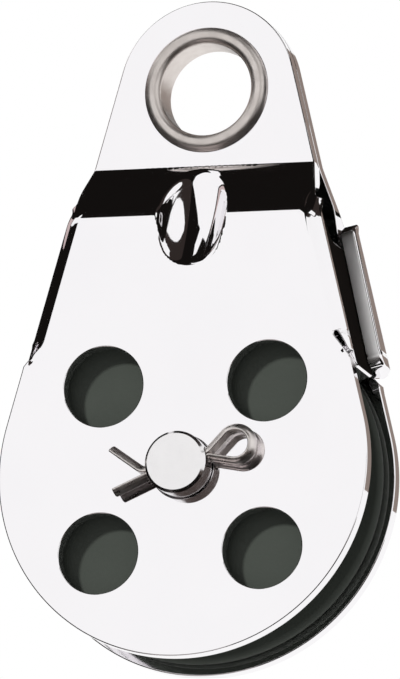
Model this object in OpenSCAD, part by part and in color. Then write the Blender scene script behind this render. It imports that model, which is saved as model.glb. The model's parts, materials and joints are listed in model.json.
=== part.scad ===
// Single sailing block: two pressed cheeks riveted by an eye ferrule, with a sheave on a clevis pin.
// Millimetres. The origin is the centre of the eye, Y runs along both bores and +Z points up.
// The front cheek faces -Y. Shapes are drawn about the clevis pin's axis and then lowered by pin_drop.

/* [Cheek plates] */
// Thickness of the sheet
plate_t = 2; // [1.6:0.1:2.2]
// Distance from the eye's axis down to the clevis pin's axis
pin_drop = 50.3; // [49.8:0.1:56]
// Radius of the round lower end
disc_r = 24.3; // [24.1:0.1:25.5]
// Radius of the round tongue about the eye
tongue_r = 11.6; // [10.6:0.1:12.5]
// Overall width across the outer faces of both cheeks
block_w = 14.6; // [14:0.1:16]
// Radius of the shallow round seat pressed round the eye
seat_r = 9.4; // [9:0.1:9.5]
// Depth of that seat
seat_depth = 0.15; // [0.05:0.05:0.3]

/* [Shoulder] */
// Height above the pin where the flat cheek starts to step inwards
step_low = 32.9; // [32.4:0.1:33.2]
// Height of the step from there to the tongue
step_rise = 7.4; // [6.8:0.1:7.5]
// Inner radius of the two bends of the step
step_bend_r = 0.5; // [0.3:0.1:1]
// Outer radius of the stiffening rib
rib_r = 6.8; // [6.4:0.1:7.2]
// How far the rib stands proud of the cheek
rib_proud = 1.6; // [1.2:0.1:2]
// Height above the pin of the rib's lower centre
rib_low = 30.3; // [29.6:0.1:30.8]
// Length of the rib between its two round ends
rib_len = 6; // [5:0.1:6.4]
// Lean of the rib from the vertical
rib_lean = 42; // [38:1:46]

/* [Side flanges] */
// Inner radius of the bends of the front flanges
side_bend_r = 0.4; // [0.3:0.1:0.8]
// How far the front flanges stand outside the straight sides of the cheek
flange_out = 0.2; // [0.1:0.1:0.6]
// Height above the pin where the bends of the front flanges start
flange_low = 14.9; // [14.4:0.1:16]
// How far the front flanges hang below their bends
flange_hang = 2.1; // [1:0.1:2.2]
// Height above the pin that the front edges of the front flanges reach
flange_high = 34.7; // [33.6:0.1:35]
// Height above the pin where the legs of the front flanges end
leg_high = 29.9; // [27:0.1:31]
// Depth over which the top of a front flange slants down to its leg
leg_slant = 2.1; // [1.5:0.1:3]
// Radius of the relief notch at the foot of each bend, of the flanges and of the tabs
relief_r = 0.8; // [0.5:0.1:0.9]
// Inner radius of the bends of the rear tabs
tab_bend_r = 2; // [1.4:0.1:2.2]
// Distance that a front flange stops short of the rear tab's bend
flange_gap = 0.2; // [0.2:0.05:0.4]
// Gap between a front flange and the tab that wraps it
wrap_gap = 0.05; // [0.05:0.05:0.2]
// Height above the pin where the rear tabs start
tab_low = 14.1; // [13.6:0.1:15]
// Height above the pin where the rear tabs end
tab_high = 33.1; // [30:0.1:33.2]
// Length of a rear tab from the rear face, at its top
tab_reach_top = 5.4; // [5:0.1:6.2]
// Length of a rear tab from the rear face, at its foot
tab_reach_low = 6.9; // [6.2:0.1:7.4]
// Radius of the flanges' and tabs' free corners
corner_r = 1.6; // [1:0.1:1.8]

/* [Lightening holes] */
// Radius of the four round holes of a cheek
hole_r = 5.2; // [4:0.1:5.6]
// Spacing of the four holes, both ways
hole_pitch = 21.6; // [20.4:0.1:21.8]

/* [Eye ferrule] */
// Radius of the eye's bore
eye_r = 6; // [5.8:0.05:6.2]
// Wall of the ferrule's tube
ferrule_wall = 1.2; // [0.8:0.1:1.4]
// Outer radius of the rolled lips
lip_r = 8.15; // [7.95:0.05:8.3]
// Height of a lip above its tongue
lip_h = 0.9; // [0.7:0.1:1]
// Radius of a lip's round section
lip_round = 1.3; // [1.2:0.05:1.5]

/* [Sheave] */
// Radius of the sheave's flanges
sheave_r = 23.1; // [22.4:0.1:23.2]
// Radius of the groove's floor
groove_floor_r = 16.9; // [16.2:0.1:17.4]
// Half width of the groove, and radius of its floor
groove_half = 3.3; // [3:0.1:3.4]
// Radius of the raised hub faces
hub_r = 9; // [8.4:0.1:9.4]
// Inner radius of the raised rim faces
rim_in_r = 21; // [20.6:0.1:21.2]
// Depth of the recessed web faces
web_recess = 0.7; // [0.3:0.1:0.8]

/* [Bearing] */
// Radius of the clevis pin
pin_r = 4; // [3.6:0.1:4.3]
// Radial running clearance of the pin in the cheeks, the bush and the washers
pin_clearance = 0.06; // [0.03:0.01:0.09]
// Wall of the sheave's bush
bush_wall = 1.5; // [1:0.1:2]
// Thickness of a thrust washer
washer_t = 0.4; // [0.3:0.05:0.5]
// Outer radius of a thrust washer
washer_r = 8; // [7:0.1:8.3]
// Axial gap on each face of a thrust washer
washer_gap = 0.05; // [0.03:0.01:0.1]

/* [Clevis pin] */
// How far the pin's free end stands out of the front cheek
pin_out = 3.4; // [3.3:0.1:4.5]
// Chamfer of the free end
pin_chamfer = 0.35; // [0.2:0.05:0.5]
// Radius of the centre drilling in the free end
dimple_r = 0.5; // [0.3:0.05:0.6]
// Radius of the head
head_r = 5.75; // [5.2:0.05:7]
// Thickness of the head
head_t = 2.4; // [2:0.1:3]
// Rounding of the head's rim
head_round = 0.7; // [0.4:0.1:0.9]

/* [Cotter pin] */
// Radius of the two half-round wires together
cotter_r = 1; // [0.8:0.05:1.1]
// Gap between its two half-round wires
cotter_slit = 0.1; // [0.05:0.05:0.2]
// Radial clearance of the cotter pin in its cross hole
cotter_clearance = 0.15; // [0.08:0.01:0.2]
// Distance of its axis from the front cheek's face
cotter_off = 1.7; // [1.6:0.05:1.8]
// Turn of the cotter pin above the horizontal
cotter_turn = 15; // [0:1:45]
// Inner radius of its eye
cotter_eye_r = 1.7; // [1.4:0.1:1.9]
// Distance from the pin's side to the centre of that eye
cotter_eye_off = 3.9; // [3.5:0.1:4.5]
// Lean of the eye from the line of the cotter pin
cotter_eye_lean = 3; // [0:1:6]
// Inner radius of the bends of its legs
leg_bend_r = 0.8; // [0.5:0.1:1.2]
// Angle that the upper leg is bent
upper_leg_bend = 50; // [30:1:80]
// Length of the upper leg past its bend
upper_leg_len = 4.4; // [3:0.1:6]
// Angle that the lower leg is bent
lower_leg_bend = 9; // [5:1:40]
// Length of the lower leg past its bend
lower_leg_len = 4.6; // [3:0.1:6]

/* [Hidden] */
$fn = 96;
// Length by which a cutting tool runs past what it cuts
past = 1;
// Small step where two shapes would only touch, so that they meet along a clear line
clear_step = 0.02;
// Places across the block, from its middle plane outwards
cheek_out = block_w / 2;
cheek_in = cheek_out - plate_t;
hub_half = cheek_in - washer_t - 2 * washer_gap;
// The tongues meet in the middle plane, so the step is as deep as the cheek's inner face is far from it
step_depth = cheek_in;
step_high = step_low + step_rise;
step_angle = atan(step_depth / step_rise);
// Height where the flat cheek ends and the lower bend of the step begins
step_start = step_low - (step_bend_r + plate_t) * tan(step_angle / 2);
// Lean of the straight sides from the vertical, from the two circles that they touch
side_lean = asin((disc_r - tongue_r) / pin_drop);
// Distances of the flanges' and tabs' outer faces from the pin's axis, square to the sides
flange_face = disc_r + flange_out;
tab_face = flange_face + wrap_gap + plate_t;
// Width of the flat strip that is extruded together with a bend
bend_strip = 0.5;
// Width of that strip that lies inside the plate
strip_lap = 0.25;
// The rib is a capsule whose lower end stands rib_proud out of the cheek
rib_deep = rib_r - rib_proud;
// Size that covers the whole block when a half space is needed
cover = 2 * (pin_drop + disc_r + tongue_r);

// Distance along a side, from the foot of the square from the pin's axis, of a height on a face at distance d
function along(height, d) = (height - d * sin(side_lean)) / cos(side_lean);

// Ring sector between two radii, from angle a0 to angle a1 of less than a half turn
module sector(r_in, r_out, a0, a1) {
    reach = 2 * r_out;
    intersection() {
        difference() {
            circle(r_out);
            circle(r_in);
        }
        polygon([[0, 0],
                 reach * [cos(a0), sin(a0)],
                 reach * [cos((a0 + a1) / 2), sin((a0 + a1) / 2)],
                 reach * [cos(a1), sin(a1)]]);
    }
}

// What a rounding of radius r takes off the corner at the point at, with signs that point into the material
module corner_waste(at, inward, r) {
    translate(at) mirror([inward[0] < 0 ? 1 : 0, 0]) mirror([0, inward[1] < 0 ? 1 : 0]) difference() {
        translate([-past, -past]) square(r + past);
        translate([r, r]) circle(r);
    }
}

// Extrudes a drawing of the block's side, with depth to the right and height up, across the block
module across(width) {
    rotate([90, 0, 90]) translate([0, 0, -width / 2]) linear_extrude(width) children();
}

// Extrudes a drawing of the block's front from y0 to y1
module through(y0, y1) {
    translate([0, y1, 0]) rotate([90, 0, 0]) linear_extrude(y1 - y0) children();
}

// Turns a profile of radius and Y about the Y axis
module turned() {
    rotate([-90, 0, 0]) rotate_extrude() children();
}

// Bore along Y through everything
module bore(r, at_z = 0) {
    translate([0, cover / 2, at_z]) rotate([90, 0, 0]) cylinder(r = r, h = cover);
}

// Region behind the face of a plate that is set back by inset from the outer face, for a cheek facing -Y
module behind_face(inset) {
    back = 4 * cheek_out;
    // Radius of the face at the lower bend, which is convex, and at the upper bend, which is hollow
    r_low = step_bend_r + plate_t - inset;
    r_high = step_bend_r + inset;
    y_low = inset - cheek_out;
    y_high = y_low + step_depth;
    half = step_angle / 2;
    // Tangent lengths of the two bends
    run_low = r_low * tan(half);
    run_high = r_high * tan(half);
    // The face's two corners move along the bends' bisectors as the plate is followed inwards
    z_low = step_low - inset * tan(half);
    z_high = step_high - inset * tan(half);
    difference() {
        polygon([[y_low, -cover], [y_low, z_low], [y_high, z_high], [y_high, cover], [back, cover], [back, -cover]]);
        // Rounds the convex lower corner
        difference() {
            polygon([[y_low, z_low - run_low], [y_low, z_low],
                     [y_low, z_low] + run_low * [sin(step_angle), cos(step_angle)],
                     [y_low + r_low, z_low - run_low]]);
            translate([y_low + r_low, z_low - run_low]) circle(r_low);
        }
    }
    // Fills the hollow upper corner
    difference() {
        polygon([[y_high, z_high + run_high], [y_high, z_high],
                 [y_high, z_high] - run_high * [sin(step_angle), cos(step_angle)],
                 [y_high - r_high, z_high + run_high]]);
        translate([y_high - r_high, z_high + run_high]) circle(r_high);
    }
}

// Outline of a cheek seen from the front: two circles and, a hair inside their common tangents, its straight sides
module teardrop() {
    low = (disc_r - clear_step) * [cos(side_lean), sin(side_lean)];
    high = [0, pin_drop] + (tongue_r - clear_step) * [cos(side_lean), sin(side_lean)];
    circle(disc_r);
    translate([0, pin_drop]) circle(tongue_r);
    polygon([low, high, [-high[0], high[1]], [-low[0], low[1]]]);
}

// Round-ended bar that forms the rib, for a cheek facing -Y
module rib_bar(r) {
    translate([0, rib_deep - cheek_out, rib_low]) {
        rotate([-rib_lean, 0, 0]) cylinder(r = r, h = rib_len);
        sphere(r + clear_step);
        children();
    }
}

// Frame of a right side whose outer face lies at distance d: X outwards, Y kept, Z up along the side
module on_side(d) {
    rotate([0, -side_lean, 0]) translate([d, 0, 0]) children();
}

// The pressed plate of a cheek facing -Y, before its sides are bent
module pressed_plate() {
    difference() {
        union() {
            intersection() {
                across(cover) difference() {
                    behind_face(0);
                    behind_face(plate_t);
                }
                through(-cheek_out, 0) teardrop();
            }
            // Shell of the rib, in front of the plate
            difference() {
                rib_bar(rib_r) translate(rib_len * [0, sin(rib_lean), cos(rib_lean)])
                    sphere(rib_r + clear_step);
                across(cover) behind_face(plate_t / 2);
            }
        }
        rib_bar(rib_r - plate_t);
        bore(pin_r + pin_clearance);
        bore(eye_r + ferrule_wall, pin_drop);
        for (x = [-1, 1], z = [-1, 1]) translate([x * hole_pitch / 2, 0, 0]) bore(hole_r, z * hole_pitch / 2);
        // Round seat of the rolled lip
        translate([0, seat_depth - plate_t, pin_drop]) rotate([90, 0, 0]) cylinder(r = seat_r, h = cheek_out);
    }
}

// Distance across the block at which a bend of inner radius r becomes a leg, for a cheek facing -Y
function leg_start(r) = r + plate_t - cheek_out;

// Bend of a right side, with a flat strip of the plate before it, between two places along the side
// The sheet is a hair thinner where it is bent
module side_bend(r, s0, s1) {
    translate([-r - plate_t, leg_start(r), s0]) linear_extrude(s1 - s0) {
        sector(r + clear_step, r + plate_t, -90, 0);
        translate([-bend_strip, -r - plate_t]) square([bend_strip, plate_t - clear_step]);
    }
}

// Leg of a right side, one sheet thick, from an outline of Y and distance along the side
module side_leg() {
    rotate([90, 0, 90]) translate([0, 0, -plate_t]) linear_extrude(plate_t) children();
}

// Room that the plate leaves free for the bend of a right side and its strip, a hair shorter than they are
module bend_room(r, s0, s1) {
    translate([strip_lap - bend_strip - r - plate_t, -cheek_out - past, s0 + clear_step])
        cube([bend_strip + r + plate_t, cheek_out, s1 - s0 - 2 * clear_step]);
}

// Relief notch of a right side at the foot of a bend of inner radius r, which parts it from the round lower end
module relief_notch(r, s0) {
    translate([flange_out - relief_r, leg_start(r), s0]) rotate([90, 0, 0]) cylinder(r = relief_r, h = cheek_out);
}

// Flange of the front cheek's right side: its leg reaches back almost to the rear tab's bend
module front_flange() {
    leg_front = leg_start(side_bend_r);
    leg_back = cheek_in - tab_bend_r - flange_gap;
    low = along(flange_low, flange_face);
    foot = along(flange_low - flange_hang, flange_face);
    leg_top = along(leg_high, flange_face);
    on_side(flange_face) {
        // The bend ends below the shoulder, where the cheek is still flat
        side_bend(side_bend_r, low, along(step_start, flange_face));
        side_leg() difference() {
            polygon([[leg_front, foot], [leg_back, foot], [leg_back, leg_top],
                     [leg_front + leg_slant, leg_top], [leg_front, along(flange_high, flange_face)]]);
            corner_waste([leg_front, foot], [1, 1], low - foot);
            corner_waste([leg_back, foot], [-1, 1], corner_r);
            corner_waste([leg_back, leg_top], [-1, -1], corner_r);
        }
    }
}

// Tab of a cheek facing -Y that wraps outside its partner's flange, on its right side
module wrap_tab() {
    leg_front = leg_start(tab_bend_r);
    edge_high = tab_reach_top - cheek_out;
    edge_low = tab_reach_low - cheek_out;
    low = along(tab_low, tab_face);
    high = along(tab_high, tab_face);
    on_side(tab_face) {
        side_bend(tab_bend_r, low, along(step_start, tab_face));
        side_leg() difference() {
            polygon([[leg_front, low], [edge_low, low], [edge_high, high], [leg_front, high]]);
            corner_waste([edge_low, low], [-1, 1], corner_r);
            corner_waste([edge_high, high], [-1, -1], corner_r);
        }
    }
}

module front_cheek() {
    low = along(flange_low, flange_face);
    color("gainsboro") translate([0, 0, -pin_drop]) difference() {
        union() {
            difference() {
                pressed_plate();
                for (side = [0, 1]) mirror([side, 0, 0]) on_side(flange_face)
                    bend_room(side_bend_r, low, along(step_start, flange_face));
            }
            for (side = [0, 1]) mirror([side, 0, 0]) front_flange();
        }
        for (side = [0, 1]) mirror([side, 0, 0]) on_side(disc_r) relief_notch(side_bend_r, low);
    }
}

module rear_cheek() {
    low = along(tab_low, tab_face);
    color("lightgray") mirror([0, 1, 0]) translate([0, 0, -pin_drop]) difference() {
        union() {
            difference() {
                pressed_plate();
                for (side = [0, 1]) mirror([side, 0, 0]) on_side(tab_face)
                    bend_room(tab_bend_r, low, along(step_start, tab_face));
            }
            for (side = [0, 1]) mirror([side, 0, 0]) wrap_tab();
        }
        for (side = [0, 1]) mirror([side, 0, 0]) on_side(disc_r) relief_notch(tab_bend_r, low);
    }
}

module eye_ferrule() {
    seat = plate_t - seat_depth;
    top = plate_t + lip_h;
    crest_r = (eye_r + lip_r) / 2;
    color("rosybrown") turned() for (side = [0, 1]) mirror([0, side]) {
        square_h = seat + (top - seat) / 4;
        translate([eye_r, 0]) square([ferrule_wall, square_h]);
        intersection() {
            translate([crest_r, top - lip_round]) circle(lip_round);
            translate([eye_r, seat]) square([lip_r - eye_r, top - seat]);
        }
    }
}

module sheave() {
    // Thickness of a flange at its tip, which is fully rounded
    tip = hub_half - groove_half;
    color("darkslategray") translate([0, 0, -pin_drop]) turned() difference() {
        union() {
            translate([pin_r, -hub_half]) square([sheave_r - tip / 2 - pin_r, 2 * hub_half]);
            for (side = [-1, 1]) translate([sheave_r - tip / 2, side * (hub_half - tip / 2)]) circle(tip / 2);
        }
        // Bore for the bush
        translate([0, -cheek_out]) square([pin_r + pin_clearance + bush_wall, block_w]);
        // Groove
        translate([groove_floor_r + groove_half, 0]) circle(groove_half);
        translate([groove_floor_r + groove_half, -groove_half]) square([cover, 2 * groove_half]);
        // Recessed web faces
        for (side = [0, 1]) mirror([0, side])
            translate([hub_r, hub_half - web_recess]) square([rim_in_r - hub_r, cheek_out]);
    }
}

module sheave_bush() {
    color("darkkhaki") translate([0, 0, -pin_drop]) turned()
        translate([pin_r + pin_clearance, -hub_half]) square([bush_wall, 2 * hub_half]);
}

// A thrust washer between the front cheek and the hub
module thrust_washer() {
    translate([0, 0, -pin_drop]) turned()
        translate([pin_r + pin_clearance, washer_gap - cheek_in]) square([washer_r - pin_r - pin_clearance, washer_t]);
}

module front_thrust_washer() {
    color("ivory") thrust_washer();
}

module rear_thrust_washer() {
    color("ivory") mirror([0, 1, 0]) thrust_washer();
}

// Frame of the cotter pin: X along it towards its eye, Z square to its split plane
module at_cotter() {
    translate([0, -cheek_out - cotter_off, -pin_drop]) rotate([0, -cotter_turn, 0]) children();
}

module clevis_pin() {
    tip_y = -cheek_out - pin_out;
    under_head = cheek_out + washer_gap;
    color("silver") difference() {
        translate([0, 0, -pin_drop]) turned() {
            polygon([[0, tip_y], [pin_r - pin_chamfer, tip_y], [pin_r, tip_y + pin_chamfer], [pin_r, under_head],
                     [0, under_head]]);
            translate([0, under_head]) square([head_r - head_round, head_t]);
            translate([0, under_head]) square([head_r, head_t - head_round]);
            translate([head_r - head_round, under_head + head_t - head_round]) circle(head_round);
        }
        at_cotter() rotate([0, 90, 0]) translate([0, 0, -2 * pin_r])
            cylinder(r = cotter_r + cotter_clearance, h = 4 * pin_r);
        // Centre drilling, a cone as deep as half its radius
        translate([0, tip_y, -pin_drop]) rotate([-90, 0, 0]) cylinder(r1 = dimple_r, r2 = 0, h = dimple_r / 2);
    }
}

// Half-round section of the cotter pin's wire, its flat just above the line Y = 0 and its round side towards +Y
module half_round(inset = 0) {
    intersection() {
        circle(cotter_r - inset);
        translate([-cotter_r, cotter_slit / 2 + inset]) square([2 * cotter_r, cotter_r]);
    }
}

// Straight half-round wire along +X with its flat just above Z = 0 and its round side towards +Z
module straight_wire(len) {
    rotate([90, 0, 90]) linear_extrude(len) half_round();
}

// Upper leg of the cotter pin along -X, which bends towards +Z by an angle
module leg(angle, len) {
    // Radius from the bend's centre to the split plane
    flat_r = leg_bend_r + cotter_r;
    translate([0, 0, flat_r]) {
        rotate([90, 0, 0]) rotate([0, 0, -90 - angle]) rotate_extrude(angle = angle)
            translate([flat_r, 0]) rotate(90) half_round(clear_step);
        rotate([0, angle, 0]) translate([-len, 0, -flat_r]) straight_wire(len);
    }
}

module cotter_pin() {
    // The strands part at the pin's side and touch the eye's circle at an angle
    strand_angle = asin(cotter_eye_r / cotter_eye_off);
    strand_len = sqrt(cotter_eye_off * cotter_eye_off - cotter_eye_r * cotter_eye_r);
    color("darkgray") at_cotter() {
        for (side = [0, 1]) mirror([0, 0, side]) translate([-pin_r, 0, 0]) straight_wire(2 * pin_r);
        translate([pin_r, 0, 0]) rotate([0, -cotter_eye_lean, 0]) {
            for (side = [0, 1]) mirror([0, 0, side]) rotate([0, -strand_angle, 0]) straight_wire(strand_len);
            translate([cotter_eye_off, 0, 0]) rotate([90, 0, 0]) rotate([0, 0, -90 - strand_angle])
                rotate_extrude(angle = 180 + 2 * strand_angle) translate([cotter_eye_r, 0]) rotate(-90) half_round(clear_step);
        }
        translate([-pin_r, 0, 0]) {
            leg(upper_leg_bend, upper_leg_len);
            mirror([0, 0, 1]) leg(lower_leg_bend, lower_leg_len);
        }
    }
}

front_cheek();
rear_cheek();
eye_ferrule();
sheave();
sheave_bush();
front_thrust_washer();
rear_thrust_washer();
clevis_pin();
cotter_pin();
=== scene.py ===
"""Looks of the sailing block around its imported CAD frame.

Sizes are millimetres until smooth_object turns them into metres. The origin is the eye's centre, the front
cheek faces -Y and +Z points up. Heights on a flat pattern are measured from the clevis pin's axis.
"""

import json
import math

import bmesh
import bpy
import numpy as np
from mathutils import Matrix, Vector, geometry, kdtree

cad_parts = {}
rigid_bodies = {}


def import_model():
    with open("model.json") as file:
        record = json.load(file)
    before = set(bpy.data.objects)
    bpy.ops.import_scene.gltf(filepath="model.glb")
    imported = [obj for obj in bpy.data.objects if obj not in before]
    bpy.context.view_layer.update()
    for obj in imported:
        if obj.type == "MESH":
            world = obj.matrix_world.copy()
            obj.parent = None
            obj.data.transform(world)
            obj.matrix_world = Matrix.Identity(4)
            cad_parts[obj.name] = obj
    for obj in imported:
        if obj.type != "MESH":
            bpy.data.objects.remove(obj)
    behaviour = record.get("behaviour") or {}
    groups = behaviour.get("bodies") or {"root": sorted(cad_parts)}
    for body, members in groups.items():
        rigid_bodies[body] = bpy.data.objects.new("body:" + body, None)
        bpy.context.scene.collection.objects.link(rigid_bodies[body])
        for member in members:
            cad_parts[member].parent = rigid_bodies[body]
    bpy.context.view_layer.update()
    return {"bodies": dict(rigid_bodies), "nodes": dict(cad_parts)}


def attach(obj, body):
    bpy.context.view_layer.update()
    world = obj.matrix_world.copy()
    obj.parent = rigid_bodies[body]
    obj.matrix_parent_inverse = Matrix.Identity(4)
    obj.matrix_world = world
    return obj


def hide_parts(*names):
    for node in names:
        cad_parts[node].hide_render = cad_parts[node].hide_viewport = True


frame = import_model()

MM = 0.001
HALF_PI = math.pi / 2
# Y of a face that isn't there, far in front
NOWHERE = -99.0

# Cheek plates, with the sizes of the CAD source
PLATE_T = 2.0
PIN_DROP = 50.3
DISC_R = 24.3
TONGUE_R = 11.6
CHEEK_OUT = 7.3
CHEEK_IN = CHEEK_OUT - PLATE_T
PIN_HOLE_R = 4.06
EYE_HOLE_R = 7.2
HOLE_R = 5.2
HOLE_AT = 10.8
SIDE_LEAN = math.asin((DISC_R - TONGUE_R) / PIN_DROP)
COS_LEAN = math.cos(SIDE_LEAN)
SIN_LEAN = math.sin(SIDE_LEAN)

# Step between the cheek and its tongue
STEP_LOW = 32.9
STEP_HIGH = 40.3
STEP_BEND_R = 0.5
STEP_DEPTH = CHEEK_IN
STEP_ANGLE = math.atan(STEP_DEPTH / (STEP_HIGH - STEP_LOW))

# Shallow round seat pressed round the eye, with the width over which its wall rises
SEAT_R = 9.4
SEAT_DEPTH = 0.06
SEAT_RISE = 1.1

# Dent pressed across the step: the radius of its round-ended punch, and the arc that its middle follows
DENT_R = 4.8
DENT_HUB_HEIGHT = 41.12
DENT_HUB_Y = -29.6
DENT_BOW = 22.2
DENT_ENDS = (math.radians(-29.5), math.radians(-6))
# Softness of the dent's rim on the outer face, and how much softer it is on the inner face
DENT_BLEND = 0.7
DENT_BLEND_BACK = 0.4

# Front flanges: distance of their outer face from the pin's axis, where their bends start, and their heights
FLANGE_FACE = 24.5
FLANGE_BEND = 22.3
FLANGE_DEPTH = 8.0
FLANGE_LOW = 14.9
FLANGE_HANG = 2.1
FLANGE_HIGH = 34.7
LEG_HIGH = 29.9
LEG_SLANT = 2.1

# Rear tabs: distance of their outer face from the pin's axis, their bends, heights and lengths
TAB_FACE = 26.55
TAB_BEND_R = 4
TAB_LOW = 14.1
TAB_HIGH = 33.1
TAB_REACH_TOP = 5.4
TAB_REACH_LOW = 6.9

# Corners of the flanges and tabs, from free ones to those in a slot's mouth
FREE_CORNER_R = 1.6
STEEP_CORNER_R = 0.8
BLUNT_CORNER_R = 0.6
SLOT_CORNER_R = 0.3

# Relief slots at the foot of the bends: half width, and how the bend line gives way beside a slot
SLOT_HALF = 0.38
SLOT_GIVE = 0.9
SLOT_EASE = 0.5
# Distance outside the round lower end from which a point is on the bent side at any height
SURE_SIDE = 0.5

# Roundings of the rims, wider where a flange or tab was sheared
RIM_R = 0.16
SHEARED_RIM_R = 0.42
SHEARED_FROM = DISC_R + 2
RIM_STEPS = 4

# Spacing of the points of lines, and the least distance between points of the meshes
LINE_STEP = 0.45
FINE_STEP = 0.3
LOOP_GAP = 0.08
FREE_GAP = 0.14
CORNER_STEPS = 8
# Half the step of the numerical tangents, and the least curvature of a bend that fades out
NUDGE = 0.004
LEAST_CURVE = 1e-6

# Columns and rows of the points inside a flat pattern, each as its start, its end and its step
PLATE_COLUMNS = (-24, 24.1, 3)
PLATE_ROWS = (-24, 62, 3)
STEP_COLUMNS = (-20, 20.1, 0.8)
DENT_COLUMNS = (-7.2, 7.21, 0.3)
DENT_ROWS = (24, 41.4, 0.3)
# Rows of the step's lower bend, its slope and its upper bend
STEP_ROWS = ((31, 34.6, 0.15), (34.6, 38.6, 0.4), (38.6, 41.2, 0.12))
# A slight sway keeps the dent's points out of line
DENT_SWAY = 0.07
DENT_SWAY_RATE = 40
# Points of a bend reach this far before and after it, and then along its leg and up its side
BEND_MARGIN = 0.4
BEND_STEP = 0.2
LEG_GAP = 1
LEG_REACH = 14
LEG_STEP = 1.2
SIDE_MARGIN = 1.2
SIDE_REACH = 6
SIDE_STEP = 0.6
SIDE_TOP = 42
# Rings of points round the eye's seat, as distances from its wall's middle, with the step in degrees
SEAT_RINGS = np.array([-1, -0.6, -0.3, -0.22, -0.15, -0.08, 0, 0.08, 0.15, 0.22, 0.3, 0.6])
SEAT_RING_STEP = 3.0
SEAT_RING_TURN = 40


def along(height, distance):
    """Distance along a side of a height on a face at a distance from the pin's axis."""
    return (height - distance * SIN_LEAN) / COS_LEAN


# Each cheek's bend, its relief slot from mouth to tip as distances across and along the side, and the
# stretch along the side over which the bend fades out below the tongue
FRONT = {
    "bend_at": FLANGE_BEND,
    "bend_r": FLANGE_FACE - FLANGE_BEND,
    "slot": [(DISC_R, 8.7), (23.35, 11.1)],
    "fade": (along(33.4, DISC_R), along(37.4, DISC_R)),
}
REAR = {
    "bend_at": TAB_FACE - TAB_BEND_R,
    "bend_r": TAB_BEND_R,
    "slot": [(DISC_R, 7.6), (23.6, 9.2)],
    "fade": (along(31.6, DISC_R), along(36, DISC_R)),
}


# Small helpers


def eased(share):
    """A share from 0 to 1 that starts and ends softly."""
    return share * share * (3 - 2 * share)


def smooth_max(a, b, softness):
    """The greater of two surfaces, with the crease between them rounded."""
    near = np.maximum(softness - abs(a - b), 0) / softness
    return np.maximum(a, b) + near * near * softness / 4


def unit(vector):
    """The same vector with a length of 1."""
    return vector / np.linalg.norm(vector)


def unit_rows(vectors):
    """The same vectors, one in each row, with a length of 1."""
    return vectors / np.linalg.norm(vectors, axis=1)[:, None]


def grid(xs, ys):
    """Points at every crossing of two lists of places."""
    x, y = np.meshgrid(xs, ys)
    return np.stack([x.ravel(), y.ravel()], 1)


def add_object(name, data):
    """Puts a new object in the scene."""
    obj = bpy.data.objects.new(name, data)
    bpy.context.scene.collection.objects.link(obj)
    return obj


def smooth_object(name, verts, faces, normals):
    """A mesh object from points in millimetres and the vertices' own normals."""
    mesh = bpy.data.meshes.new(name)
    mesh.from_pydata([tuple(v) for v in np.asarray(verts, float) * MM], [], [tuple(f) for f in faces])
    mesh.polygons.foreach_set("use_smooth", [True] * len(mesh.polygons))
    mesh.normals_split_custom_set_from_vertices([tuple(n) for n in normals])
    mesh.update()
    return add_object(name, mesh)


# Forming of the sheet


def step_offset(height, inset):
    """How far the face that is set back by inset has stepped inwards at a height."""
    half = STEP_ANGLE / 2
    low_r = STEP_BEND_R + PLATE_T - inset
    high_r = STEP_BEND_R + inset
    low_corner = STEP_LOW - inset * math.tan(half)
    high_corner = STEP_HIGH - inset * math.tan(half)
    low_run = low_r * math.tan(half)
    high_run = high_r * math.tan(half)
    low_start = low_corner - low_run
    low_end = low_corner + low_run * math.cos(STEP_ANGLE)
    high_start = high_corner - high_run * math.cos(STEP_ANGLE)
    high_end = high_corner + high_run
    low_bend = low_r - np.sqrt(np.maximum(low_r**2 - (height - low_start) ** 2, 0))
    slope = (height - low_corner) * math.tan(STEP_ANGLE)
    high_bend = STEP_DEPTH - high_r + np.sqrt(np.maximum(high_r**2 - (high_end - height) ** 2, 0))
    below = [height <= low_start, height <= low_end, height <= high_start, height <= high_end]
    return np.select(below, [np.zeros_like(height), low_bend, slope, high_bend], STEP_DEPTH)


def dent_end(height, half, angle):
    """Y of the ball that ends the dent's punch at an angle of its bow, half as high as half says."""
    up = height - (DENT_HUB_HEIGHT + DENT_BOW * math.sin(angle))
    deep = DENT_HUB_Y + DENT_BOW * math.cos(angle)
    return np.where(abs(up) < half, deep + np.sqrt(np.maximum(half**2 - up**2, 0)), NOWHERE)


def dent_face(x, height, r):
    """Y of the inward face of the round-ended punch of radius r that presses the dent."""
    half = np.sqrt(np.maximum(r * r - x * x, 0))
    up = height - DENT_HUB_HEIGHT
    bow = DENT_HUB_Y + np.sqrt(np.maximum((DENT_BOW + half) ** 2 - up**2, 0))
    angle = np.arctan2(up, bow - DENT_HUB_Y)
    low_end, high_end = (dent_end(height, half, end) for end in DENT_ENDS)
    face = np.where(angle < DENT_ENDS[0], low_end, np.where(angle > DENT_ENDS[1], high_end, bow))
    return np.where(half <= 0, NOWHERE, face)


def bend_start(across, upward, cheek):
    """Distance across at which a side's bend starts. It gives way outwards on the inner side of the slot."""
    (foot_across, foot_up), (tip_across, tip_up) = cheek["slot"]
    outside = across > foot_across + (upward - foot_up) * (tip_across - foot_across) / (tip_up - foot_up)
    give = np.clip((tip_up + SLOT_EASE - upward) / (tip_up - foot_up), 0, 1)
    return cheek["bend_at"] + np.where(outside & (upward < tip_up), 0, SLOT_GIVE * eased(give))


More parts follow.
